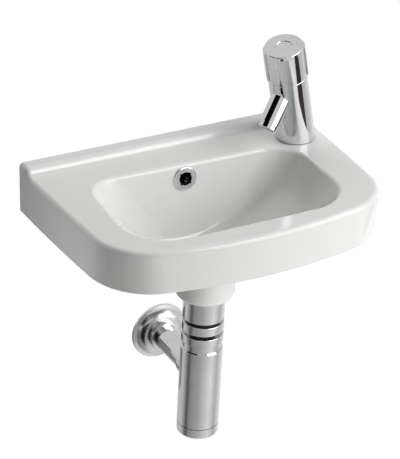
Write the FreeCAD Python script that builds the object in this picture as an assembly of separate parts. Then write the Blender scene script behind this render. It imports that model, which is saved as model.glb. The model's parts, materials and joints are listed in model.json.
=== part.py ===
import FreeCAD, Part
import math
import os

from FreeCAD import Vector

os.makedirs("parts", exist_ok=True)

# Frame: wall plane at y = 0, basin towards -y, fixing line at z = 0.

# Basin outline and heights
basin_width = 400.0
basin_depth = 265.0
front_bow = 28.0
side_inset = 10.5
side_bow = 2.7
front_corner_radius = 70.0
skirt_corner_radius = 80.0
skirt_inset = 2.0
fixing_to_deck = 34.5
ledge_rise = 10.5
ledge_depth = 12.0
ledge_round = 9.0
skirt_height = 58.0
skirt_wall = 11.0
back_wall = 14.0
deck_wall = 12.0
deck_edge_round = 6.5
skirt_edge_round = 3.5

# Bowl
bowl_left_front_rim = 45.0
bowl_left_rear_rim = 57.0
bowl_right_rim = 57.0
bowl_front_rim = 34.0
bowl_rear_left_rim = 61.0
bowl_rear_right_rim = 70.0
bowl_front_corner_radius = 58.0
bowl_rear_corner_radius = 42.0
bowl_depth = 105.0
floor_left_run = 109.0
floor_right_run = 70.0
floor_depth = 72.0
floor_rear_run = 19.0
floor_corner_radius = 33.0
floor_round = 20.0
dish_radius = 125.0
dish_left = 8.0
dish_trim = 10.0
bowl_wall = 9.0
bowl_edge_round = 6.0

# Wall fixing holes
fixing_spacing = 200.0
fixing_hole_radius = 7.0

# Waste hole, boss and overflow duct
drain_to_wall = 114.5
drain_right = 4.0
drain_radius = 23.0
boss_radius = 38.0
boss_depth = 163.3
boss_round = 10.0
seat_radius = 32.5
seat_depth = 4.0
seat_headroom = 8.0
overflow_left = 5.6
overflow_drop = 19.4
overflow_radius = 12.0
overflow_chamber_radius = 12.5
overflow_duct_radius = 7.0
overflow_duct_wall = 5.5
overflow_duct_drop = 20.0
overflow_web_height = 45.0
overflow_chamber_set_back = 9.0

# Overflow ring
ring_flange_radius = 15.8
ring_flange_height = 2.6
ring_sleeve_length = 11.0
ring_seat_depth = 0.5
ring_opening_radius = 8.6
ring_edge_round = 1.8
ring_notch_radius = 1.5
ring_notches = 4

# Turned grooves that part a plain end from the rest
groove_width = 1.5
groove_depth = 0.5

# Fits
thread_clearance = 0.05
slide_clearance = 0.3
running_clearance = 0.06
seat_clearance = 0.02
cut_overrun = 2.0

# Waste fitting
waste_flange_radius = 31.5
waste_flange_height = 2.6
waste_top_seal_height = 1.6
waste_seal_width = 8.0
tail_radius = 20.95
tail_bore_radius = 18.2
waste_window_width = 12.0
waste_window_height = 16.0
cross_height = 6.0
cross_width = 7.0
cross_drop = 34.0
lower_seal_height = 2.0
lower_seal_radius = 25.6
sleeve_nut_radius = 26.5
sleeve_nut_height = 28.6

# Push plug
plug_cap_radius = 29.0
plug_cap_height = 5.0
plug_cap_gap = 0.6
plug_travel = 8.0
plug_neck_radius = 12.0
plug_neck_height = 6.0
plug_seal_radius = 17.8
plug_seal_height = 2.4
plug_stem_radius = 4.0
plug_stem_guide = 4.0
cartridge_radius = 7.5
cartridge_height = 18.0
cartridge_thread_radius = 5.6

# Bottle trap
trap_radius = 27.0
trap_groove = 4.6
inlet_nut_height = 12.4
inlet_nut_lip = 2.2
inlet_seal_height = 2.0
dip_flange_height = 1.6
dip_tube_radius = 16.0
dip_tube_wall = 1.5
dip_tube_above_floor = 26.0
top_cap_groove = 5.2
top_cap_height = 11.8
top_cap_plate = 3.2
neck_radius = 22.8
neck_band_radius = 24.8
neck_band_height = 10.4
neck_seal_height = 1.8
bottle_height = 112.6
bottle_wall = 2.3
bottom_seal_height = 0.9
bottom_cap_height = 13.6
bottom_cap_plate = 4.5
bottom_cap_round = 2.5
bottom_spigot_height = 8.0
nut_edge_round = 0.8

# Outlet pipe and rosette
pipe_radius = 16.0
pipe_wall = 1.4
pipe_below_bottle_top = 41.7
pipe_past_wall = 25.0
pipe_mark_from_wall = 1.0
socket_radius = 18.6
socket_length = 4.5
outlet_seal_width = 2.4
outlet_seal_height = 1.2
rosette_radius = 39.0
rosette_rim = 3.0
rosette_shoulder_radius = 34.0
rosette_neck_radius = 21.0
rosette_neck_start = 13.0
rosette_length = 22.0
rosette_wall = 1.2
rosette_dome = 2.6

# Tap place and lean
tap_to_side = 40.4
tap_to_wall = 56.0
tap_lean = 16.2
tap_turn = 23.0

# Tap body, measured along its leaning axis from the deck
tap_hole_radius = 17.5
tap_radius = 24.6
tap_body_height = 99.5
gasket_height = 1.2
gasket_width = 9.0
tap_edge_round = 0.8
inlet_bore_radius = 6.0
valve_bore_radius = 13.0
valve_seat = 60.0
spout_root = 87.0
spout_angle = 53.8
spout_radius = 13.3
spout_length = 56.0
spout_bore_radius = 8.0
aerator_thread_radius = 11.0
aerator_thread_depth = 9.0
aerator_radius = 12.3
aerator_height = 7.5
aerator_bore_radius = 9.3
aerator_seal_height = 1.5
aerator_lip = 1.2
insert_height = 6.0
insert_hole_radius = 1.3
insert_row_radius = 5.6
insert_holes = 8

# Tap inlet shank under the deck
shank_radius = 10.48
shank_bore_radius = 6.5
shank_in_body = 14.0
shank_below_deck = 52.0
shank_groove_gap = 1.0
rubber_washer_radius = 23.0
rubber_washer_height = 3.0
steel_washer_radius = 22.0
steel_washer_height = 2.0
backnut_flats = 27.0
backnut_height = 9.0

# Tap headwork and discs
disc_seal_height = 2.0
disc_seal_width = 3.0
disc_radius = 10.4
disc_height = 3.0
disc_port_radius = 2.4
disc_port_reach = 5.6
chamber_radius = 10.7
chamber_height = 18.0
headwork_window_height = 8.0
headwork_window_width = 9.0
headwork_collar_radius = 17.0
headwork_collar_height = 4.0
headwork_neck_radius = 9.0
headwork_neck_height = 10.0
spindle_radius = 5.0
spindle_foot_radius = 9.6
spindle_foot_height = 3.0
spindle_seal_height = 2.2
spindle_seal_width = 1.8

# Tap handle
handle_gap = 0.5
handle_radius = 24.6
handle_height = 45.0
handle_wall = 3.0
handle_top_plate = 12.0
handle_hub_radius = 8.0
handle_hub_depth = 12.0
handle_edge_round = 1.2
grip_count = 4
grip_rise = 1.8
grip_width = 15.0
grip_start_gap = 0.6
grip_top_drop = 1.5
grip_chamfer = 1.6
grip_turn = 44.0
spline_radius = 4.2
spline_length = 7.0
index_radius = 10.6
index_height = 2.4
index_recess = 3.2
index_edge_round = 0.6
screw_radius = 2.0
screw_head_radius = 3.6
screw_head_height = 2.6
screw_length = 18.0
screw_socket_radius = 1.6
screw_socket_depth = 1.5

# Shares of sizes
half_share = 0.5
notch_reach_share = 0.98

# Heights and places that follow from the sizes
deck_z = fixing_to_deck
ledge_z = deck_z + ledge_rise
skirt_z = deck_z - skirt_height
floor_z = deck_z - bowl_depth
boss_z = deck_z - boss_depth
half_width = basin_width * half_share
front_half_width = half_width - side_inset
tap_right = half_width - tap_to_side
up = Vector(0, 0, 1)
down = Vector(0, 0, -1)
into_wall = Vector(0, 1, 0)
origin = Vector(0, 0, 0)
drain_y = -drain_to_wall
inlet_nut_top = boss_z - lower_seal_height - sleeve_nut_height - trap_groove
inlet_nut_low = inlet_nut_top - inlet_nut_height
dip_flange_z = inlet_nut_low + inlet_nut_lip
inlet_seal_z = dip_flange_z + dip_flange_height
tail_end = inlet_seal_z + inlet_seal_height
top_cap_top = inlet_nut_low - top_cap_groove
top_cap_low = top_cap_top - top_cap_height
neck_top = top_cap_top - top_cap_plate - neck_seal_height
bottle_top = top_cap_low - neck_band_height
bottle_low = bottle_top - bottle_height
bottom_cap_top = bottle_low - bottom_seal_height
bottom_cap_low = bottom_cap_top - bottom_cap_height
bottle_bore = trap_radius - bottle_wall
pipe_z = bottle_top - pipe_below_bottle_top


def save(shape, name):
    shape.exportStep("parts/" + name + ".step")


def cylinder(radius, base, axis, length):
    return Part.makeCylinder(radius, length, base, axis)


def ring(outer, inner, base, axis, length):
    hole = cylinder(inner, base - axis * cut_overrun, axis, length + cut_overrun + cut_overrun)
    return cylinder(outer, base, axis, length).cut(hole)


def groove(radius, base, axis):
    return ring(radius + groove_width, radius - groove_depth, base, axis, groove_width)


def box(size, centre_bottom):
    corner = centre_bottom - Vector(size.x, size.y, 0) * half_share
    return Part.makeBox(size.x, size.y, size.z, corner)


def edges_at_height(shape, height):
    found = []
    for edge in shape.Edges:
        bounds = edge.BoundBox
        if abs(bounds.ZMin - height) < seat_clearance and abs(bounds.ZMax - height) < seat_clearance:
            found.append(edge)
    return found


def circles(shape, radius, height):
    found = []
    for edge in edges_at_height(shape, height):
        if hasattr(edge.Curve, "Radius") and abs(edge.Curve.Radius - radius) < seat_clearance:
            found.append(edge)
    return found


def rounded_outline(corners, bows, radii, height):
    edges = []
    for index, start in enumerate(corners):
        end = corners[(index + 1) % len(corners)]
        chord = end - start
        outward = Vector(-chord.y, chord.x, 0).normalize()
        middle = (start + end) * half_share + outward * bows[index]
        if bows[index]:
            edges.append(Part.Arc(start, middle, end).toShape())
        else:
            edges.append(Part.makeLine(start, end))
    prism = Part.Face(Part.Wire(edges)).extrude(up)
    for corner, radius in zip(corners, radii):
        if radius:
            upright = [edge for edge in prism.Edges if is_upright_at(edge, corner)]
            prism = prism.makeFillet(radius, upright)
    base = [face for face in prism.Faces if face.BoundBox.ZMax < half_share][0]
    wire = base.OuterWire.copy()
    wire.translate(up * height)
    return wire


def is_upright_at(edge, corner):
    ends = [vertex.Point for vertex in edge.Vertexes]
    return all(abs(end.x - corner.x) + abs(end.y - corner.y) < seat_clearance for end in ends)


def loft(lower, upper):
    return Part.makeLoft([lower, upper], True, True)


# Ceramic basin


def basin_corners(inset, back):
    side = half_width - inset
    front_side = front_half_width - inset
    front_y = inset - basin_depth + front_bow
    return [
        Vector(side, -back, 0),
        Vector(front_side, front_y, 0),
        Vector(-front_side, front_y, 0),
        Vector(-side, -back, 0),
    ]


def basin_outline(inset, back, radius, height):
    bows = [side_bow, front_bow, side_bow, 0]
    return rounded_outline(basin_corners(inset, back), bows, [0, radius, radius, 0], height)


def basin_block():
    top = basin_outline(0, -cut_overrun, front_corner_radius, ledge_z)
    foot = basin_outline(skirt_inset, -cut_overrun, skirt_corner_radius, skirt_z)
    return loft(foot, top).common(deck_profile())


def deck_profile():
    turn = math.acos((ledge_round + ledge_round - ledge_rise) / (ledge_round + ledge_round))
    run = ledge_round * math.sin(turn)
    half_turn = turn * half_share
    half_run = ledge_round * math.sin(half_turn)
    half_drop = ledge_round - ledge_round * math.cos(half_turn)
    left = -basin_width
    front = -basin_depth - cut_overrun
    crest = Vector(left, -ledge_depth, ledge_z)
    crest_middle = Vector(left, -ledge_depth - half_run, ledge_z - half_drop)
    turning = Vector(left, -ledge_depth - run, deck_z + ledge_rise * half_share)
    toe_middle = Vector(left, -ledge_depth - run - run + half_run, deck_z + half_drop)
    toe = Vector(left, -ledge_depth - run - run, deck_z)
    low_front = Vector(left, front, skirt_z - cut_overrun)
    low_rear = Vector(left, 0, skirt_z - cut_overrun)
    top = Vector(left, 0, ledge_z)
    edges = [
        Part.makeLine(low_rear, top),
        Part.makeLine(top, crest),
        Part.Arc(crest, crest_middle, turning).toShape(),
        Part.Arc(turning, toe_middle, toe).toShape(),
        Part.makeLine(toe, Vector(left, front, deck_z)),
        Part.makeLine(Vector(left, front, deck_z), low_front),
        Part.makeLine(low_front, low_rear),
    ]
    return Part.Face(Part.Wire(edges)).extrude(Vector(basin_width + basin_width, 0, 0))


def rim_edges(block):
    found = []
    for edge in block.Edges:
        middle = edge.CenterOfMass
        bounds = edge.BoundBox
        inside_rear = bounds.YMin > -seat_clearance
        upright = bounds.ZLength > skirt_height * half_share
        across = bounds.XLength > front_half_width and bounds.YLength < seat_clearance
        if not inside_rear and not upright and not across and middle.z > deck_z - seat_clearance:
            found.append(edge)
    return found


def skirt_edges(block):
    return [edge for edge in edges_at_height(block, skirt_z) if edge.BoundBox.YMin < -seat_clearance]


def bowl_outline(offset, height):
    front_y = bowl_front_rim - basin_depth - offset
    right = half_width - bowl_right_rim + offset
    corners = [
        Vector(right, offset - bowl_rear_right_rim, 0),
        Vector(right, front_y, 0),
        Vector(bowl_left_front_rim - half_width - offset, front_y, 0),
        Vector(bowl_left_rear_rim - half_width - offset, offset - bowl_rear_left_rim, 0),
    ]
    front = bowl_front_corner_radius + offset
    rear = bowl_rear_corner_radius + offset
    return rounded_outline(corners, [0, 0, 0, 0], [rear, front, front, rear], height)


def floor_outline(offset, height):
    right = half_width - bowl_right_rim - floor_right_run + offset
    left = bowl_left_front_rim - half_width + floor_left_run - offset
    floor_rear = bowl_rear_left_rim + floor_rear_run
    front_y = -floor_rear - floor_depth - offset
    rear_y = offset - floor_rear
    corners = [
        Vector(right, rear_y, 0),
        Vector(right, front_y, 0),
        Vector(left, front_y, 0),
        Vector(left, rear_y, 0),
    ]
    radius = floor_corner_radius + offset
    return rounded_outline(corners, [0, 0, 0, 0], [radius, radius, radius, radius], height)


def dish_height(across, offset):
    reach = across + dish_left
    return floor_z - offset + reach * reach * half_share / (dish_radius + offset)


def dish(offset):
    left = -half_width - dish_left
    right = half_width - dish_left
    crest = dish_height(left, offset)
    low = floor_z - offset
    start = Vector(left, 0, crest)
    end = Vector(right, 0, crest)
    bend = Part.BezierCurve()
    bend.setPoles([start, Vector(-dish_left, 0, low + low - crest), end])
    profile = Part.Wire([bend.toShape(), Part.makeLine(end, start)])
    return Part.Face(profile).extrude(into_wall * -basin_depth)


def dish_edges(form, offset):
    found = []
    for edge in form.Edges:
        middle = edge.valueAt((edge.FirstParameter + edge.LastParameter) * half_share)
        if abs(middle.z - dish_height(middle.x, offset)) < seat_clearance:
            found.append(edge)
    return found


def bowl_form(offset):
    walls = loft(floor_outline(offset, floor_z - dish_trim - offset), bowl_outline(offset, deck_z))
    form = walls.common(dish(offset))
    return form.makeFillet(floor_round + offset, dish_edges(form, offset))


def wall_point(form, across, height):
    probe = Part.makeLine(Vector(across, 0, height), Vector(across, drain_y, height))
    for face in form.Faces:
        gap, points, info = face.distToShape(probe)
        if gap < seat_clearance:
            place = points[0][0]
            u, v = face.Surface.parameter(place)
            return place, face.normalAt(u, v)


inner_bowl = bowl_form(0)
overflow_place, overflow_back = wall_point(inner_bowl, -overflow_left, deck_z - overflow_drop)
ring_place = overflow_place + overflow_back * ring_seat_depth


def overflow_path():
    chamber = overflow_place + overflow_back * (bowl_wall + overflow_chamber_set_back)
    low_z = floor_z - overflow_duct_drop
    slope = overflow_back.z / overflow_back.y
    low_y = chamber.y - (chamber.z - low_z) * -slope
    low = Vector(drain_right, low_y, low_z)
    return chamber, low, on_drain(low_z)


def duct(radius, chamber_radius):
    chamber, low, end = overflow_path()
    fall = low - chamber
    run = end - low
    first = cylinder(radius, chamber, fall, fall.Length)
    second = cylinder(radius, low, run, run.Length)
    bend = Part.makeSphere(radius, low)
    return Part.makeSphere(chamber_radius, chamber).multiFuse([first, second, bend])


def overflow_web(radius):
    chamber, low, end = overflow_path()
    size = Vector(radius + radius, low.y - end.y, overflow_web_height)
    return box(size, (low + end) * half_share)


def boss():
    height = floor_z - boss_z
    post = cylinder(boss_radius, on_drain(boss_z), up, height)
    return post.makeFillet(boss_round, edges_at_height(post, boss_z))


def make_basin():
    block = basin_block()
    block = block.makeFillet(deck_edge_round, rim_edges(block))
    block = block.makeFillet(skirt_edge_round, skirt_edges(block))
    roof = basin_outline(skirt_wall, back_wall, front_corner_radius - skirt_wall, deck_z - deck_wall)
    mouth_inset = skirt_wall + skirt_inset
    mouth = basin_outline(mouth_inset, back_wall, skirt_corner_radius - skirt_wall, skirt_z - cut_overrun)
    shell = block.cut(loft(mouth, roof))
    trimmed = bowl_form(bowl_wall).common(Part.makeBox(
        basin_width, basin_depth, basin_width,
        Vector(-half_width, -basin_depth, deck_z - deck_wall * half_share - basin_width)))
    duct_radius = overflow_duct_radius + overflow_duct_wall
    outer_duct = duct(duct_radius, overflow_chamber_radius + overflow_duct_wall)
    body = shell.multiFuse([trimmed, boss(), outer_duct, overflow_web(duct_radius)])
    body = body.cut(inner_bowl)
    body = body.makeFillet(bowl_edge_round, bowl_rim(body))
    return body.cut(Part.makeCompound(basin_openings())).removeSplitter().Solids[0]


def bowl_rim(body):
    found = []
    for edge in edges_at_height(body, deck_z):
        middle = edge.CenterOfMass
        inside_left = middle.x > bowl_left_front_rim - half_width - cut_overrun
        inside_right = middle.x < half_width - bowl_right_rim + cut_overrun
        inside_front = middle.y > bowl_front_rim - basin_depth - cut_overrun
        inside_rear = middle.y < cut_overrun - bowl_rear_left_rim
        if inside_left and inside_right and inside_front and inside_rear:
            found.append(edge)
    return found


def basin_openings():
    openings = [duct(overflow_duct_radius, overflow_chamber_radius)]
    bore_length = floor_z - boss_z + cut_overrun
    openings.append(cylinder(drain_radius, on_drain(boss_z - cut_overrun), up, bore_length))
    openings.append(cylinder(seat_radius, on_drain(floor_z - seat_depth), up, seat_depth + seat_headroom))
    overflow_length = bowl_wall + overflow_chamber_set_back
    openings.append(cylinder(overflow_radius, ring_place, overflow_back, overflow_length))
    ring_seat_length = ring_seat_depth + cut_overrun
    ring_seat_radius = ring_flange_radius + slide_clearance
    openings.append(cylinder(ring_seat_radius, ring_place, overflow_back * -1, ring_seat_length))
    tap_bottom = Vector(tap_right, -tap_to_wall, deck_z - deck_wall - cut_overrun)
    openings.append(cylinder(tap_hole_radius, tap_bottom, up, deck_wall + cut_overrun + cut_overrun))
    for side in (-half_share, half_share):
        start = Vector(fixing_spacing * side, -back_wall - cut_overrun, 0)
        openings.append(cylinder(fixing_hole_radius, start, into_wall, back_wall + cut_overrun + cut_overrun))
    return openings


def make_overflow_ring():
    flange = cylinder(ring_flange_radius, origin, up, ring_flange_height)
    flange = flange.makeFillet(ring_edge_round, circles(flange, ring_flange_radius, ring_flange_height))
    sleeve = cylinder(overflow_radius - thread_clearance, origin, down, ring_sleeve_length)
    length = ring_flange_height + ring_sleeve_length + cut_overrun + cut_overrun
    opening = cylinder(ring_opening_radius, down * (ring_sleeve_length + cut_overrun), up, length)
    body = flange.fuse(sleeve).cut(opening)
    for index in range(ring_notches):
        angle = math.radians(360 * (index + half_share) / ring_notches)
        reach = ring_opening_radius * notch_reach_share
        place = Vector(reach * math.cos(angle), reach * math.sin(angle), -ring_sleeve_length - cut_overrun)
        body = body.cut(cylinder(ring_notch_radius, place, up, length))
    turn = FreeCAD.Rotation(up, overflow_back * -1)
    body.Placement = FreeCAD.Placement(ring_place, turn)
    return body


# Waste fitting and push plug

seal_bottom = floor_z - seat_depth
flange_bottom = seal_bottom + waste_top_seal_height
flange_top = flange_bottom + waste_flange_height
cross_z = flange_top - cross_drop


def on_drain(height):
    return Vector(drain_right, drain_y, height)


def on_pipe(place):
    return Vector(drain_right, place, pipe_z)


def make_waste_top_seal():
    inner = waste_flange_radius - waste_seal_width
    return ring(waste_flange_radius, inner, on_drain(seal_bottom), up, waste_top_seal_height)


def make_waste_body():
    flange = cylinder(waste_flange_radius, on_drain(flange_bottom), up, waste_flange_height)
    flange_rim = circles(flange, waste_flange_radius, flange_top)
    flange = flange.makeChamfer(waste_flange_height * half_share, flange_rim)
    tail = cylinder(tail_radius, on_drain(tail_end), up, flange_bottom - tail_end)
    body = flange.fuse(tail)
    length = flange_top - tail_end + cut_overrun + cut_overrun
    body = body.cut(cylinder(tail_bore_radius, on_drain(tail_end - cut_overrun), up, length))
    window_z = floor_z - overflow_duct_drop - waste_window_height * half_share
    window = Vector(waste_window_width, tail_radius + tail_radius + cut_overrun, waste_window_height)
    body = body.cut(box(window, on_drain(window_z)))
    bars = box(Vector(tail_bore_radius + tail_radius, cross_width, cross_height), on_drain(cross_z))
    return body.fuse(bars).cut(cross_hole()).removeSplitter()


def cross_hole():
    radius = cartridge_thread_radius + thread_clearance
    return cylinder(radius, on_drain(cross_z - cut_overrun), up, cross_height + cut_overrun + cut_overrun)


def make_waste_lower_seal():
    inner = tail_radius + thread_clearance
    return ring(lower_seal_radius, inner, on_drain(boss_z), down, lower_seal_height)


def make_waste_sleeve_nut():
    top = on_drain(boss_z - lower_seal_height)
    nut = cylinder(sleeve_nut_radius, top, down, sleeve_nut_height)
    low = boss_z - lower_seal_height - sleeve_nut_height
    nut = nut.makeFillet(nut_edge_round, circles(nut, sleeve_nut_radius, low))
    bore_length = lower_seal_height + sleeve_nut_height + cut_overrun
    return nut.cut(cylinder(tail_radius + thread_clearance, on_drain(boss_z), down, bore_length))


def make_plug_cartridge():
    body = cylinder(cartridge_radius, on_drain(cross_z + cross_height), up, cartridge_height)
    spigot = cylinder(cartridge_thread_radius, on_drain(cross_z), up, cross_height)
    bore_radius = plug_stem_radius + running_clearance
    length = cross_height + cartridge_height + cut_overrun + cut_overrun
    return body.fuse(spigot).cut(cylinder(bore_radius, on_drain(cross_z - cut_overrun), up, length))


plug_cap_z = flange_top + plug_cap_gap
plug_neck_z = plug_cap_z - plug_neck_height


def make_plug_cap():
    cap = cylinder(plug_cap_radius, on_drain(plug_cap_z), up, plug_cap_height)
    top = circles(cap, plug_cap_radius, plug_cap_z + plug_cap_height)
    cap = cap.makeFillet(plug_cap_height * half_share, top)
    neck = cylinder(plug_neck_radius, on_drain(plug_neck_z), up, plug_neck_height)
    socket = cylinder(plug_stem_radius + seat_clearance, on_drain(plug_neck_z - cut_overrun), up,
                      plug_neck_height + cut_overrun)
    return cap.fuse(neck).cut(socket).removeSplitter()


def make_plug_seal():
    inner = plug_neck_radius + seat_clearance
    return ring(plug_seal_radius, inner, on_drain(plug_cap_z), down, plug_seal_height)


def make_plug_stem():
    low = cross_z - plug_travel - plug_stem_guide
    return cylinder(plug_stem_radius, on_drain(low), up, plug_cap_z - low)


# Bottle trap

def make_trap_inlet_nut():
    nut = cylinder(trap_radius, on_drain(inlet_nut_low), up, inlet_nut_height)
    nut = nut.makeFillet(nut_edge_round, nut_rims(nut, inlet_nut_low, inlet_nut_top))
    thread = cylinder(tail_radius + thread_clearance, on_drain(dip_flange_z), up, inlet_nut_height)
    hole_start = on_drain(inlet_nut_low - cut_overrun)
    return nut.cut([thread, cylinder(dip_tube_radius + thread_clearance, hole_start, up, inlet_nut_height)])


def nut_rims(nut, low, top):
    return circles(nut, trap_radius, low) + circles(nut, trap_radius, top)


def make_trap_inlet_seal():
    inner = dip_tube_radius - dip_tube_wall
    return ring(tail_radius, inner, on_drain(inlet_seal_z), up, inlet_seal_height)


def make_trap_dip_tube():
    low = bottom_cap_top + dip_tube_above_floor
    flange = cylinder(tail_radius, on_drain(dip_flange_z), up, dip_flange_height)
    tube = cylinder(dip_tube_radius, on_drain(low), up, dip_flange_z - low)
    length = dip_flange_z - low + inlet_nut_height
    bore = cylinder(dip_tube_radius - dip_tube_wall, on_drain(low - cut_overrun), up, length)
    return flange.fuse(tube).cut(bore)


def make_trap_top_cap():
    cap = cylinder(trap_radius, on_drain(top_cap_low), up, top_cap_height)
    cap = cap.makeFillet(nut_edge_round, nut_rims(cap, top_cap_low, top_cap_top))
    thread_height = top_cap_height - top_cap_plate + cut_overrun
    thread = cylinder(neck_radius + thread_clearance, on_drain(top_cap_low - cut_overrun), up, thread_height)
    hole_radius = dip_tube_radius + thread_clearance
    return cap.cut([thread, cylinder(hole_radius, on_drain(top_cap_low), up, top_cap_height + cut_overrun)])


def make_trap_neck_seal():
    inner = dip_tube_radius + thread_clearance
    return ring(neck_radius, inner, on_drain(neck_top), up, neck_seal_height)


def make_trap_bottle():
    bottle = cylinder(trap_radius, on_drain(bottle_low), up, bottle_height)
    bottle = bottle.makeFillet(nut_edge_round, circles(bottle, trap_radius, bottle_top))
    band = cylinder(neck_band_radius, on_drain(bottle_top), up, neck_band_height)
    neck = cylinder(neck_radius, on_drain(bottle_top), up, neck_top - bottle_top)
    socket = cylinder(socket_radius, on_pipe(drain_y), into_wall, trap_radius + socket_length)
    body = bottle.multiFuse([band, neck, socket])
    bore = cylinder(bottle_bore, on_drain(bottle_low - cut_overrun), up, bottle_height + cut_overrun)
    neck_bore_radius = neck_radius - bottle_wall
    neck_bore = cylinder(neck_bore_radius, on_drain(bottle_low), up, neck_top - bottle_low + cut_overrun)
    outlet = cylinder(pipe_radius + thread_clearance, on_pipe(drain_y), into_wall, drain_to_wall)
    body = body.cut([bore, neck_bore, outlet, outlet_groove()])
    return body.removeSplitter()


def outlet_groove():
    radius = pipe_radius + outlet_seal_height
    return cylinder(radius, on_pipe(outlet_seal_y()), into_wall, outlet_seal_width)


def outlet_seal_y():
    return drain_y + trap_radius + (socket_length - outlet_seal_width) * half_share


def make_outlet_seal():
    outer = pipe_radius + outlet_seal_height
    return ring(outer, pipe_radius, on_pipe(outlet_seal_y()), into_wall, outlet_seal_width)


def make_outlet_pipe():
    start = on_pipe(drain_y + bottle_bore)
    length = pipe_past_wall - start.y
    pipe = ring(pipe_radius, pipe_radius - pipe_wall, start, into_wall, length)
    return pipe.cut(groove(pipe_radius, on_pipe(pipe_mark_from_wall), into_wall))


def make_trap_bottom_seal():
    return ring(trap_radius - nut_edge_round, bottle_bore, on_drain(bottle_low), down, bottom_seal_height)


def make_trap_bottom_cap():
    cap = cylinder(trap_radius, on_drain(bottom_cap_low), up, bottom_cap_height)
    cap = cap.makeFillet(bottom_cap_round, circles(cap, trap_radius, bottom_cap_low))
    spigot_height = bottom_seal_height + bottom_spigot_height
    spigot = cylinder(bottle_bore - thread_clearance, on_drain(bottom_cap_top), up, spigot_height)
    hollow_radius = bottle_bore - bottle_wall
    hollow_z = bottom_cap_low + bottom_cap_plate
    hollow = cylinder(hollow_radius, on_drain(hollow_z), up, bottom_cap_height + spigot_height)
    return cap.fuse(spigot).cut(hollow)


def dome_arc(start, end):
    chord = end - start
    outward = Vector(chord.z, 0, -chord.x).normalize()
    return Part.Arc(start, (start + end) * half_share + outward * rosette_dome, end).toShape()


def make_wall_rosette():
    bore = pipe_radius + running_clearance
    inner_neck = rosette_neck_radius - rosette_wall
    inner_shoulder = rosette_shoulder_radius - rosette_wall
    inner_top = rosette_neck_start - rosette_wall
    corners = [Vector(radius, 0, height) for radius, height in (
        (inner_shoulder, 0), (rosette_radius, 0), (rosette_radius, rosette_rim),
        (rosette_shoulder_radius, rosette_rim + rosette_wall), (rosette_neck_radius, rosette_neck_start),
        (rosette_neck_radius, rosette_length), (bore, rosette_length),
        (bore, rosette_length - rosette_wall), (inner_neck, rosette_length - rosette_wall),
        (inner_neck, inner_top), (inner_shoulder, rosette_rim))]
    edges = []
    for index, start in enumerate(corners):
        end = corners[(index + 1) % len(corners)]
        if start.z == rosette_rim + rosette_wall:
            edges.append(dome_arc(start, end))
        elif start.z == inner_top:
            edges.append(dome_arc(end, start))
        else:
            edges.append(Part.makeLine(start, end))
    body = Part.Face(Part.Wire(edges)).revolve(origin, up, 360)
    body = body.makeFillet(nut_edge_round, circles(body, rosette_neck_radius, rosette_length))
    body.Placement = FreeCAD.Placement(on_pipe(0), FreeCAD.Rotation(up, into_wall * -1))
    return body


# Tap, built upright at the origin and then leaned over the bowl

tap_base = Vector(tap_right, -tap_to_wall, deck_z)


def leaned(shape):
    shape.rotate(origin, Vector(0, 1, 0), -tap_lean)
    shape.rotate(origin, up, tap_turn)
    shape.translate(tap_base)
    return shape


def along_spout(shape):
    shape.rotate(origin, Vector(0, 1, 0), 180 + spout_angle)
    shape.translate(up * spout_root)
    return shape


def make_tap_gasket():
    return ring(tap_radius - tap_edge_round, tap_radius - gasket_width, tap_base, up, gasket_height)


def make_tap_body():
    column = cylinder(tap_radius, down * tap_radius, up, tap_body_height + tap_radius)
    column = column.makeFillet(tap_edge_round, circles(column, tap_radius, tap_body_height))
    body = column.fuse(along_spout(cylinder(spout_radius, origin, up, spout_length)))
    inlet = cylinder(inlet_bore_radius, origin, up, valve_seat + cut_overrun)
    valve = cylinder(valve_bore_radius, up * valve_seat, up, tap_body_height)
    waterway = along_spout(cylinder(spout_bore_radius, origin, up, spout_length + cut_overrun))
    thread_z = spout_length - aerator_thread_depth
    thread = cylinder(aerator_thread_radius, up * thread_z, up, aerator_thread_depth + cut_overrun)
    body = leaned(body.cut([inlet, valve, waterway, along_spout(thread)]))
    foot = tap_base + up * gasket_height
    reach = tap_radius + tap_radius
    under = cylinder(reach, foot, down, reach)
    shank_hole = cylinder(shank_radius + thread_clearance, tap_base, up, shank_in_body)
    return body.cut([under, shank_hole]).removeSplitter()


def make_aerator_housing():
    thread_low = spout_length - aerator_thread_depth + aerator_seal_height
    thread_radius = aerator_thread_radius - thread_clearance
    thread = cylinder(thread_radius, up * thread_low, up, spout_length - thread_low)
    nozzle = cylinder(aerator_radius, up * spout_length, up, aerator_height)
    end = spout_length + aerator_height
    nozzle = nozzle.makeFillet(nut_edge_round, circles(nozzle, aerator_radius, end))
    bore_low = thread_low - cut_overrun
    bore = cylinder(aerator_bore_radius, up * bore_low, up, end - aerator_lip - bore_low)
    mouth = cylinder(aerator_bore_radius - aerator_lip, up * spout_length, up, aerator_height + cut_overrun)
    return leaned(along_spout(thread.fuse(nozzle).cut([bore, mouth])))


def make_aerator_seal():
    low = up * (spout_length - aerator_thread_depth)
    return leaned(along_spout(ring(aerator_thread_radius, spout_bore_radius, low, up, aerator_seal_height)))


def make_aerator_insert():
    start = up * (spout_length + aerator_height - aerator_lip - insert_height)
    body = cylinder(aerator_bore_radius - seat_clearance, start, up, insert_height)
    length = insert_height + cut_overrun + cut_overrun
    holes = []
    for index in range(insert_holes):
        angle = math.radians(360 * index / insert_holes)
        side = Vector(insert_row_radius * math.cos(angle), insert_row_radius * math.sin(angle), 0)
        holes.append(cylinder(insert_hole_radius, start + side - up * cut_overrun, up, length))
    holes.append(cylinder(insert_hole_radius, start - up * cut_overrun, up, length))
    return leaned(along_spout(body.cut(holes)))


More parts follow.
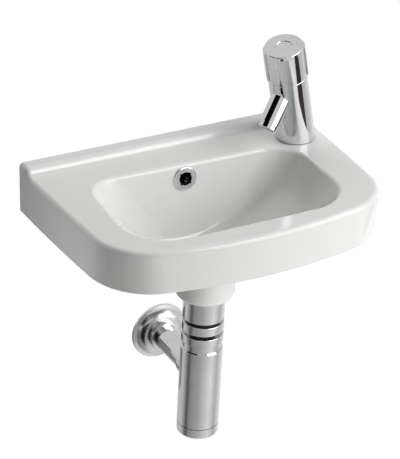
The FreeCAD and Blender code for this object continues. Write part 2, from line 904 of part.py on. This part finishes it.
def make_tap_shank():
    low = Vector(tap_right, -tap_to_wall, deck_z - shank_below_deck)
    shank = ring(shank_radius, shank_bore_radius, low, up, shank_below_deck + shank_in_body)
    nut_stack = rubber_washer_height + steel_washer_height + backnut_height
    return shank.cut(groove(shank_radius, deck_under + down * (nut_stack + shank_groove_gap), down))


deck_under = Vector(tap_right, -tap_to_wall, deck_z - deck_wall)
washer_hole = shank_radius + thread_clearance


def make_tap_rubber_washer():
    return ring(rubber_washer_radius, washer_hole, deck_under, down, rubber_washer_height)


def make_tap_steel_washer():
    top = deck_under + down * rubber_washer_height
    return ring(steel_washer_radius, washer_hole, top, down, steel_washer_height)


def make_tap_backnut():
    top = deck_under + down * (rubber_washer_height + steel_washer_height)
    reach = backnut_flats * half_share / math.cos(math.radians(30))
    corners = []
    for index in range(7):
        angle = math.radians(60 * index)
        corners.append(top + Vector(reach * math.cos(angle), reach * math.sin(angle), 0))
    prism = Part.Face(Part.makePolygon(corners)).extrude(down * backnut_height)
    hole_length = backnut_height + cut_overrun + cut_overrun
    return prism.cut(cylinder(washer_hole, top + up * cut_overrun, down, hole_length))


# Tap headwork, turning parts and handle

fixed_disc_s = valve_seat + disc_seal_height
moving_disc_s = fixed_disc_s + disc_height + seat_clearance
foot_s = moving_disc_s + disc_height
collar_s = tap_body_height
collar_top = collar_s + headwork_collar_height
neck_top_s = collar_top + headwork_neck_height
handle_low = tap_body_height + handle_gap
handle_top = handle_low + handle_height
handle_roof = handle_top - handle_top_plate
spindle_top = handle_roof - handle_hub_depth + spline_length
screw_seat = handle_top - index_recess - screw_head_height


def make_disc_seal():
    inner = disc_radius - disc_seal_width
    return leaned(ring(disc_radius, inner, up * valve_seat, up, disc_seal_height))


def disc(radius, start):
    body = cylinder(radius, up * start, up, disc_height)
    for side in (-disc_port_reach, disc_port_reach):
        place = Vector(side, 0, start - cut_overrun)
        body = body.cut(cylinder(disc_port_radius, place, up, disc_height + cut_overrun + cut_overrun))
    return body


def make_fixed_disc():
    return leaned(disc(disc_radius, fixed_disc_s))


def make_moving_disc():
    turned_off = disc(disc_radius - slide_clearance, moving_disc_s)
    turned_off.rotate(origin, up, 90)
    return leaned(turned_off)


def make_headwork():
    barrel_low = valve_seat
    barrel = cylinder(valve_bore_radius - thread_clearance, up * barrel_low, up, collar_s - barrel_low)
    collar = cylinder(headwork_collar_radius, up * collar_s, up, headwork_collar_height)
    neck = cylinder(headwork_neck_radius, up * collar_top, up, headwork_neck_height)
    chamber = cylinder(chamber_radius, up * (barrel_low - cut_overrun), up, chamber_height + cut_overrun)
    bore_radius = spindle_radius + running_clearance
    bore = cylinder(bore_radius, up * barrel_low, up, neck_top_s - barrel_low + cut_overrun)
    across = valve_bore_radius + valve_bore_radius + cut_overrun
    window_size = Vector(across, headwork_window_width, headwork_window_height)
    window = box(window_size, up * (foot_s + spindle_foot_height))
    seal_low = up * (neck_top_s - spindle_seal_height - spindle_seal_height)
    groove = cylinder(bore_radius + spindle_seal_width, seal_low, up, spindle_seal_height)
    return leaned(barrel.multiFuse([collar, neck]).cut([chamber, bore, window, groove]))


def make_spindle_seal():
    low = up * (neck_top_s - spindle_seal_height - spindle_seal_height)
    inner = spindle_radius + running_clearance
    return leaned(ring(inner + spindle_seal_width, inner, low, up, spindle_seal_height))


def make_spindle():
    foot = cylinder(spindle_foot_radius, up * foot_s, up, spindle_foot_height)
    stem = cylinder(spindle_radius, up * foot_s, up, handle_roof - handle_hub_depth - foot_s)
    spline = cylinder(spline_radius, up * foot_s, up, spindle_top - foot_s)
    hole = cylinder(screw_radius + thread_clearance, up * (screw_seat - screw_length), up, screw_length)
    body = foot.multiFuse([stem, spline])
    for side in (-disc_port_reach, disc_port_reach):
        place = Vector(0, side, foot_s - cut_overrun)
        port_length = spindle_foot_height + cut_overrun + cut_overrun
        body = body.cut(cylinder(disc_port_radius, place, up, port_length))
    return leaned(body.cut(hole).removeSplitter())


def grip(index):
    length = handle_height - grip_start_gap - grip_top_drop
    low = handle_low + grip_start_gap
    reach = handle_radius + grip_rise
    bar = Part.makeBox(reach, grip_width, length, Vector(0, -grip_width * half_share, low))
    post = cylinder(reach, up * low, up, length)
    top = circles(post, reach, low + length)
    body = post.makeChamfer(grip_chamfer, top).common(bar)
    body.rotate(origin, up, grip_turn + 360 * index / grip_count)
    return body


def make_tap_handle():
    drum = cylinder(handle_radius, up * handle_low, up, handle_height)
    drum = drum.makeFillet(handle_edge_round, circles(drum, handle_radius, handle_top))
    body = drum.multiFuse([grip(index) for index in range(grip_count)])
    hollow_height = handle_roof - handle_low + cut_overrun
    hollow = cylinder(handle_radius - handle_wall, up * (handle_low - cut_overrun), up, hollow_height)
    body = body.cut(hollow)
    body = body.fuse(cylinder(handle_hub_radius, up * (handle_roof - handle_hub_depth), up, handle_hub_depth))
    recess = cylinder(index_radius, up * (handle_top - index_recess), up, index_recess + cut_overrun)
    head = cylinder(screw_head_radius + seat_clearance, up * screw_seat, up, index_recess + screw_head_height)
    spline = cylinder(spline_radius + seat_clearance, up * (handle_roof - handle_hub_depth - cut_overrun), up,
                      spindle_top - handle_roof + handle_hub_depth + cut_overrun)
    hole_low = spindle_top - cut_overrun
    hole = cylinder(screw_radius + seat_clearance, up * hole_low, up, screw_seat - hole_low + cut_overrun)
    return leaned(body.cut([recess, head, spline, hole]).removeSplitter())


def make_handle_screw():
    head = cylinder(screw_head_radius, up * screw_seat, up, screw_head_height)
    shaft = cylinder(screw_radius, up * (screw_seat - screw_length), up, screw_length)
    socket_z = screw_seat + screw_head_height - screw_socket_depth
    socket = cylinder(screw_socket_radius, up * socket_z, up, screw_socket_depth + cut_overrun)
    return leaned(head.fuse(shaft).cut(socket))


def make_index_cap():
    low = handle_top - index_recess
    cap = cylinder(index_radius - seat_clearance, up * low, up, index_height)
    cap = cap.makeFillet(index_edge_round, circles(cap, index_radius - seat_clearance, low + index_height))
    return leaned(cap)


save(make_basin(), "basin")
save(make_overflow_ring(), "overflow_ring")
save(make_waste_top_seal(), "waste_top_seal")
save(make_waste_body(), "waste_body")
save(make_waste_lower_seal(), "waste_lower_seal")
save(make_waste_sleeve_nut(), "waste_sleeve_nut")
save(make_plug_cartridge(), "plug_cartridge")
save(make_plug_cap(), "plug_cap")
save(make_plug_seal(), "plug_seal")
save(make_plug_stem(), "plug_stem")
save(make_trap_inlet_nut(), "trap_inlet_nut")
save(make_trap_inlet_seal(), "trap_inlet_seal")
save(make_trap_dip_tube(), "trap_dip_tube")
save(make_trap_top_cap(), "trap_top_cap")
save(make_trap_neck_seal(), "trap_neck_seal")
save(make_trap_bottle(), "trap_bottle")
save(make_trap_bottom_seal(), "trap_bottom_seal")
save(make_trap_bottom_cap(), "trap_bottom_cap")
save(make_outlet_seal(), "outlet_seal")
save(make_outlet_pipe(), "outlet_pipe")
save(make_wall_rosette(), "wall_rosette")
save(make_tap_gasket(), "tap_gasket")
save(make_tap_body(), "tap_body")
save(make_tap_shank(), "tap_shank")
save(make_tap_rubber_washer(), "tap_rubber_washer")
save(make_tap_steel_washer(), "tap_steel_washer")
save(make_tap_backnut(), "tap_backnut")
save(make_aerator_housing(), "aerator_housing")
save(make_aerator_seal(), "aerator_seal")
save(make_aerator_insert(), "aerator_insert")
save(make_disc_seal(), "disc_seal")
save(make_fixed_disc(), "fixed_disc")
save(make_moving_disc(), "moving_disc")
save(make_headwork(), "headwork")
save(make_spindle_seal(), "spindle_seal")
save(make_spindle(), "spindle")
save(make_tap_handle(), "tap_handle")
save(make_handle_screw(), "handle_screw")
save(make_index_cap(), "index_cap")
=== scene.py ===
import json
import math

import bpy
from mathutils import Matrix, Vector

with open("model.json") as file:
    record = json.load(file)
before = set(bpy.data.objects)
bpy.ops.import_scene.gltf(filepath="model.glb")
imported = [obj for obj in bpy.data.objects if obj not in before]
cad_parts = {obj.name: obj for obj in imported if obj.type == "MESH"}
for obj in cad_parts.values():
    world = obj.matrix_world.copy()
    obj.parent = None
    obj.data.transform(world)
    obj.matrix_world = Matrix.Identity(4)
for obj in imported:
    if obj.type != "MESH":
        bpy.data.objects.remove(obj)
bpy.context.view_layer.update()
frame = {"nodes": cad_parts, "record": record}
nodes = frame["nodes"]
print("frame:", len(nodes), "nodes")


# shader wiring

class Wire:
    def __init__(self, tree, socket):
        self.tree = tree
        self.socket = socket

    def maths(self, operation, first, second):
        node = self.tree.nodes.new("ShaderNodeMath")
        node.operation = operation
        for slot, value in zip(node.inputs, (first, second)):
            if isinstance(value, Wire):
                self.tree.links.new(value.socket, slot)
            else:
                slot.default_value = value
        return Wire(self.tree, node.outputs[0])

    def __add__(self, other):
        return self.maths("ADD", self, other)

    def __rsub__(self, other):
        return self.maths("SUBTRACT", other, self)

    def __mul__(self, other):
        return self.maths("MULTIPLY", self, other)


class Wiring:
    def __init__(self, tree):
        self.tree = tree

    def node(self, kind, settings, inputs, output=0):
        node = self.tree.nodes.new(kind)
        for name, value in settings.items():
            if name == "stops":
                ramp = node.color_ramp.elements
                while len(ramp) < len(value):
                    ramp.new(0.5)
                for stop, (at, colour) in zip(ramp, value):
                    stop.position = at
                    stop.color = colour
            else:
                setattr(node, name, value)
        for name, value in inputs.items():
            if isinstance(value, Wire):
                self.tree.links.new(value.socket, node.inputs[name])
            else:
                node.inputs[name].default_value = value
        if node.outputs:
            return Wire(self.tree, node.outputs[output])

    def seenBy(self, *rays):  # 1 for any of these kinds of ray
        found = self.node("ShaderNodeLightPath", {}, {}, rays[0])
        for ray in rays[1:]:
            found = found + self.node("ShaderNodeLightPath", {}, {}, ray)
        return found.maths("MINIMUM", found, 1.0)


class Finish(Wiring):
    def __init__(self, name, constants):
        self.material = bpy.data.materials.new(name)
        self.material.use_nodes = True
        super().__init__(self.material.node_tree)
        self.shader = self.tree.nodes["Principled BSDF"]
        for socket, value in constants.items():
            self.shader.inputs[socket].default_value = value
        self.place = self.node("ShaderNodeTexCoord", {}, {}, "Object")

    def feed(self, socket, wire):
        self.tree.links.new(wire.socket, self.shader.inputs[socket])

    def noise(self, scale, detail=3.0, roughness=0.5, stretch=(1.0, 1.0, 1.0)):
        place = self.node("ShaderNodeMapping", {}, {"Vector": self.place, "Scale": stretch})
        inputs = {"Vector": place, "Scale": scale, "Detail": detail, "Roughness": roughness}
        return self.node("ShaderNodeTexNoise", {}, inputs)

    def band(self, value, low, high):  # 0 below low, 1 above high, eased
        return self.node("ShaderNodeMapRange", {"interpolation_type": "SMOOTHSTEP"},
                         {"Value": value, "From Min": low, "From Max": high})

    def blend(self, factor, first, second):
        return self.node("ShaderNodeMix", {"data_type": "RGBA"},
                         {"Factor": factor, 6: first, 7: second}, 2)    # its colour sockets

    def bump(self, height, strength, distance):
        normal = self.node("ShaderNodeBump", {},
                           {"Height": height, "Strength": strength, "Distance": distance})
        self.feed("Normal", normal)


def grey(level):
    return (level, level, level, 1.0)


# finishes: scales are per metre, rough is the least roughness, relief is strength and height

chinaLook = {
    "index": 1.52,
    "white": (0.836, 0.833, 0.824, 1.0),
    "thin": (0.797, 0.793, 0.781, 1.0),
    "cloud": 9.0,       # slow tint of the glaze
    "paintedDuctShade": (0.015, 0.015, 0.016, 1.0),
    "overflow": (-0.0056, -0.0485, 0.0128),     # centre of the painted shade in the duct behind the ring
    "ductShadeReach": (0.017, 0.0145),
    "grain": 160.0,
    "rough": 0.085,
    "grainRough": 0.05,
    "ripple": 38.0,
    "relief": (0.10, 0.0006),
}


def makeChina(look):
    china = Finish("chinaGlaze", {"IOR": look["index"]})
    cloud = china.noise(look["cloud"], detail=2.0)
    tint = china.blend(cloud, look["white"], look["thin"])
    # painted shade: the glaze turns near black around the overflow ring's hole, where the duct
    # lies in shade
    gap = china.node("ShaderNodeVectorMath", {"operation": "DISTANCE"},
                     {0: china.place, 1: look["overflow"]}, "Value")
    ductShade = china.band(gap, *look["ductShadeReach"])
    china.feed("Base Color", china.blend(ductShade, tint, look["paintedDuctShade"]))
    grain = china.noise(look["grain"], detail=2.0)
    china.feed("Roughness", grain * look["grainRough"] + look["rough"])
    china.bump(china.noise(look["ripple"], detail=2.0), *look["relief"])
    return china.material


chromeLook = {
    "bright": (0.74, 0.745, 0.755, 1.0),
    "hazed": (0.68, 0.685, 0.695, 1.0),
    "smear": 24.0,
    "haze": (0.42, 0.72),
    "wipe": (900.0, 900.0, 120.0),
    "rough": 0.05,
    "hazeRough": 0.03,
    "wipeRough": 0.03,
    "relief": (0.006, 0.0001),
}
softLook = {**chromeLook, "rough": 0.245}


def makeChrome(name, look):
    chrome = Finish(name, {"Metallic": 1.0})
    smear = chrome.noise(look["smear"], detail=4.0, roughness=0.6)
    haze = chrome.band(smear, *look["haze"])
    chrome.feed("Base Color", chrome.blend(haze, look["bright"], look["hazed"]))
    wipes = chrome.noise(scale=1.0, roughness=0.6, stretch=look["wipe"])
    chrome.feed("Roughness", haze * look["hazeRough"] + wipes * look["wipeRough"] + look["rough"])
    chrome.bump(wipes, *look["relief"])
    return chrome.material


tailLook = {
    "plating": (-0.083, -0.082),    # painted groove shade below, plated above
    "plated": (0.74, 0.745, 0.755, 1.0),
    "thread": (0.018, 0.017, 0.016, 1.0),
    "deepGrooveShade": grey(0.006),
    "stainAndShadeMottle": 180.0,
    "mottleShare": 0.5,
    "pitch": 0.0018,
    "threadRough": 0.55,
    "polish": 0.49,     # roughness that the plating takes off
    "relief": (0.4, 0.0006),
}


def makeTail(look):
    tail = Finish("threadedTail", {})
    height = tail.node("ShaderNodeSeparateXYZ", {}, {"Vector": tail.place}, "Z")
    plated = tail.band(height, *look["plating"])
    # painted shade: below the plating the tail is near black and mottled, standing in for the
    # shade in the trap's grooves
    stainAndShadeMottle = tail.noise(look["stainAndShadeMottle"]) * look["mottleShare"] + (1.0 - look["mottleShare"])
    grooveShadeTone = tail.blend(stainAndShadeMottle, look["deepGrooveShade"], look["thread"])
    tail.feed("Base Color", tail.blend(plated, grooveShadeTone, look["plated"]))
    tail.feed("Metallic", plated)
    tail.feed("Roughness", look["threadRough"] - plated * look["polish"])
    ridge = height.maths("SINE", height * (2 * math.pi / look["pitch"]), 0.0)
    tail.bump(ridge * (1.0 - plated), *look["relief"])
    return tail.material


metalLook = {
    "stainAndShadeMottle": 45.0,
    "stained": (0.35, 0.7),
    "lineRough": 0.16,
    "relief": (0.12, 0.0002),
}
brassLook = {
    **metalLook,
    "bright": (0.74, 0.57, 0.27, 1.0),
    "dull": (0.58, 0.43, 0.2, 1.0),
    "rough": 0.2,
    "turning": (300, 300, 2600),
}
steelLook = {
    **metalLook,
    "bright": grey(0.62),
    "dull": grey(0.5),
    "rough": 0.24,
    "turning": (2200, 400, 400),
}


def makeMetal(name, look):
    metal = Finish(name, {"Metallic": 1.0})
    lines = metal.noise(scale=1.0, detail=2.0, stretch=look["turning"])
    stainAndShadeMottle = metal.noise(look["stainAndShadeMottle"], detail=4.0, roughness=0.6)
    stained = metal.band(stainAndShadeMottle, *look["stained"])
    metal.feed("Base Color", metal.blend(stained, look["bright"], look["dull"]))
    metal.feed("Roughness", lines * look["lineRough"] + look["rough"])
    metal.bump(lines, *look["relief"])
    return metal.material


mouldedLook = {
    "index": 1.5,
    "patch": 60.0,
    "grainRough": 0.2,
    "relief": (0.15, 0.0002),
}
rubberLook = {
    **mouldedLook,
    "main": grey(0.025),
    "worn": grey(0.045),
    "rough": 0.52,
    "grain": 1400,
}
discLook = {
    **mouldedLook,
    "main": (0.84, 0.83, 0.8, 1.0),
    "worn": (0.78, 0.77, 0.73, 1.0),
    "rough": 0.2,
    "grain": 900,
}
insertLook = {
    **mouldedLook,
    "main": (0.62, 0.63, 0.65, 1.0),
    "worn": (0.5, 0.51, 0.53, 1.0),
    "rough": 0.35,
    "grain": 700,
}


def makeMoulded(name, look):
    moulded = Finish(name, {"IOR": look["index"]})
    patch = moulded.noise(look["patch"])
    grain = moulded.noise(look["grain"], detail=2.0)
    moulded.feed("Base Color", moulded.blend(patch, look["main"], look["worn"]))
    moulded.feed("Roughness", grain * look["grainRough"] + look["rough"])
    moulded.bump(grain, *look["relief"])
    return moulded.material


finishOf = {
    "china": makeChina(chinaLook),
    "chrome": makeChrome("polishedChrome", chromeLook),
    "brass": makeMetal("turnedBrass", brassLook),
    "steel": makeMetal("plainSteel", steelLook),
    "rubber": makeMoulded("blackRubber", rubberLook),
    "disc_ceramic": makeMoulded("lappedDisc", discLook),
    "insert_plastic": makeMoulded("insertPlastic", insertLook),
}
softChrome = makeChrome("softChrome", softLook)
threadedTail = makeTail(tailLook)
ownFinish = {
    "wall_rosette": softChrome,
    "waste_body": threadedTail,
    "trap_dip_tube": threadedTail,
}
for row in frame["record"]["subparts"]:
    finish = ownFinish.get(row["node"], finishOf[row["material_slot"]])
    for slot in nodes[row["node"]].material_slots:
        slot.material = finish
print("finishes:", len({*finishOf.values(), *ownFinish.values()}))


# camera, as the picture was taken

picture = {
    "azimuth": -30.274, "elevation": 29.099, "roll": 3.048,
    "focal": 2300.0, "longSide": 459.0,     # in the picture's pixels
    "sensor": 36.0,
    "distance": 2.7892,
    "target": Vector((-0.02811, -0.150, -0.01039)),
}


def wayTo(azimuth, elevation):  # azimuth from straight in front, towards +X
    turn, rise = math.radians(azimuth), math.radians(elevation)
    level = math.cos(rise)
    return Vector((math.sin(turn) * level, -math.cos(turn) * level, math.sin(rise)))


def makeCamera(view):
    turn, roll = math.radians(view["azimuth"]), math.radians(view["roll"])
    back = wayTo(view["azimuth"], view["elevation"])
    right = Vector((math.cos(turn), math.sin(turn), 0))
    up = back.cross(right)
    across = right * math.cos(roll) + up * math.sin(roll)
    upright = up * math.cos(roll) - right * math.sin(roll)
    lens = bpy.data.cameras.new("pictureCamera")
    lens.sensor_width = view["sensor"]
    lens.lens = view["focal"] / view["longSide"] * view["sensor"]
    camera = bpy.data.objects.new("pictureCamera", lens)
    bpy.context.scene.collection.objects.link(camera)
    turned = Matrix((across, upright, back)).transposed().to_4x4()
    camera.matrix_world = Matrix.Translation(view["target"] + back * view["distance"]) @ turned
    bpy.context.scene.camera = camera


makeCamera(picture)
print("camera set")


# lamps, world and the cards that the chrome mirrors

studio = {
    "centre": Vector((0, -0.13, 0)),
    "ambient": 0.10,
    "backdrop": 1.0,
    "inReflections": ("keyPanel", "stripPanel"),
    "onlyThere": ("stripPanel",),
    "lamps": {
        "keyPanel": {
            "azimuth": 34.0, "elevation": 20.0, "far": 2.2, "size": (1.9, 1.9), "power": 39.0},
        "rightPanel": {
            "azimuth": 65.0, "elevation": 42.0, "far": 2.2, "size": (1.3, 1.3), "power": 12.0},
        "rearPanel": {
            "azimuth": 180.0, "elevation": 57.0, "far": 2.2, "size": (1.5, 1.5), "power": 19.3},
        "lowPanel": {
            "azimuth": 35.0, "elevation": -50.0, "far": 2.2, "size": (1.2, 1.2), "power": 23.5},
        "leftPanel": {
            "azimuth": -75.0, "elevation": -15.0, "far": 1.2, "size": (0.5, 0.5), "power": 0.85},
        "sidePanel": {
            "azimuth": -85.0, "elevation": -4.0, "far": 0.34, "size": (0.1, 0.1), "power": 0.06},
        "stripPanel": {
            "azimuth": 42.0, "elevation": 38.0, "far": 2.2, "size": (2.4, 0.8), "power": 15.5},
        "bossPanel": {
            "azimuth": -12.0, "elevation": -56.0, "far": 0.24,
            "size": (0.06, 0.06), "power": 0.034},
    },
}


def makeLamp(name, azimuth, elevation, far, size, power):
    way = wayTo(azimuth, elevation)
    lamp = bpy.data.lights.new(name, "AREA")
    lamp.shape = "RECTANGLE"
    lamp.size, lamp.size_y = size
    lamp.energy = power
    light = bpy.data.objects.new(name, lamp)
    bpy.context.scene.collection.objects.link(light)
    light.location = studio["centre"] + way * far
    light.rotation_euler = way.to_track_quat("Z", "Y").to_euler()
    light.visible_glossy = name in studio["inReflections"]
    light.visible_diffuse = name not in studio["onlyThere"]


for name, lamp in studio["lamps"].items():
    makeLamp(name, **lamp)


def makeWorld(ambient, backdrop):
    world = bpy.data.worlds.new("whiteStudio")
    bpy.context.scene.world = world
    world.use_nodes = True
    world.node_tree.nodes.clear()
    sky = Wiring(world.node_tree)
    seen = sky.seenBy("Is Camera Ray", "Is Glossy Ray", "Is Transmission Ray")
    fill = sky.node("ShaderNodeBackground", {}, {"Color": grey(1.0), "Strength": ambient})
    white = sky.node("ShaderNodeBackground", {}, {"Color": grey(1.0), "Strength": backdrop})
    shown = sky.node("ShaderNodeMixShader", {}, {0: seen, 1: fill, 2: white})
    sky.node("ShaderNodeOutputWorld", {}, {"Surface": shown})


makeWorld(studio["ambient"], studio["backdrop"])
bpy.context.scene.view_settings.view_transform = "Standard"


def mirrorOnly(card):  # a card that only reflections show
    card.visible_camera = False
    card.visible_diffuse = False
    card.visible_transmission = False
    card.visible_volume_scatter = False
    card.visible_shadow = False


sweep = {
    "radius": 3.0,
    "segments": 96,
    "rings": 48,
    "stops": (      # degrees from the camera's side, tone
        (-180, 0.6), (-100, 0.6), (-65, 0.1), (-45, 0.3), (0, 0.45),
        (60, 0.9), (95, 0.55), (145, 0.9), (180, 0.6)),
    "upper": 0.72,
    "seam": (-0.16, 0.02),      # share of the radius where the lower half meets the upper
}


def makeSweep(card):
    bpy.ops.object.select_all(action="DESELECT")
    bpy.ops.mesh.primitive_uv_sphere_add(
        segments=card["segments"], ring_count=card["rings"],
        radius=card["radius"], location=(0, 0, 0))
    dome = bpy.context.object
    dome.name = "studioSweep"
    paint = Finish("sweepPaint", {
        "Base Color": grey(0.0), "Roughness": 1.0,
        "Specular IOR Level": 0.0, "Emission Strength": 1.0})
    facing = math.radians(90.0 - picture["azimuth"])    # the camera's side at the ramp's middle
    turned = paint.node("ShaderNodeMapping", {},
                        {"Vector": paint.place, "Rotation": (0, 0, facing)})
    around = paint.node("ShaderNodeTexGradient", {"gradient_type": "RADIAL"},
                        {"Vector": turned}, "Fac")
    stops = [(0.5 + at / 360.0, grey(tone)) for at, tone in card["stops"]]
    lower = paint.node("ShaderNodeValToRGB", {"stops": stops}, {"Fac": around})
    height = paint.node("ShaderNodeSeparateXYZ", {}, {"Vector": paint.place}, "Z")
    low, high = (share * card["radius"] for share in card["seam"])
    above = paint.band(height, low, high)
    paint.feed("Emission Color", paint.blend(above, lower, grey(card["upper"])))
    dome.data.materials.append(paint.material)
    mirrorOnly(dome)


flagBlack = (0.004, 0.004, 0.004)
flagCloth = {"rough": 0.9, "weave": 6.0}
flags = {
    "highFlag": {
        "place": (-1.242, -0.195, 1.007), "facing": (-87.0, 39.0),
        "size": 1.9, "tint": flagBlack},
    "lowFlag": {        # edge on to the trap
        "place": (-0.16, -0.1192, -0.30), "facing": (-3.3, 0.0),
        "size": 0.24, "tint": flagBlack},
    "pipeFlag": {
        "place": (-0.03, 0.03, -0.295), "facing": (0.0, 0.0),
        "size": 0.13, "tint": (0.75, 0.75, 0.75)},
    "tapFlag": {
        "place": (0.3146, -0.2346, -0.03), "facing": (45.0, -29.0),
        "size": 0.12, "tint": (0.22, 0.16, 0.14)},
}


def makeFlag(name, place, facing, size, tint):
    turn = wayTo(*facing).to_track_quat("Z", "Y").to_euler()
    bpy.ops.object.select_all(action="DESELECT")
    bpy.ops.mesh.primitive_plane_add(size=size, location=place, rotation=turn)
    card = bpy.context.object
    card.name = name
    paint = Finish(name + "Paint", {"Roughness": flagCloth["rough"], "Specular IOR Level": 0.0})
    weave = paint.noise(flagCloth["weave"])
    paint.feed("Base Color", paint.blend(weave, grey(0.0), (*tint, 1.0)))
    card.data.materials.append(paint.material)
    mirrorOnly(card)


makeSweep(sweep)
for name, flag in flags.items():
    makeFlag(name, **flag)
print("studio set")
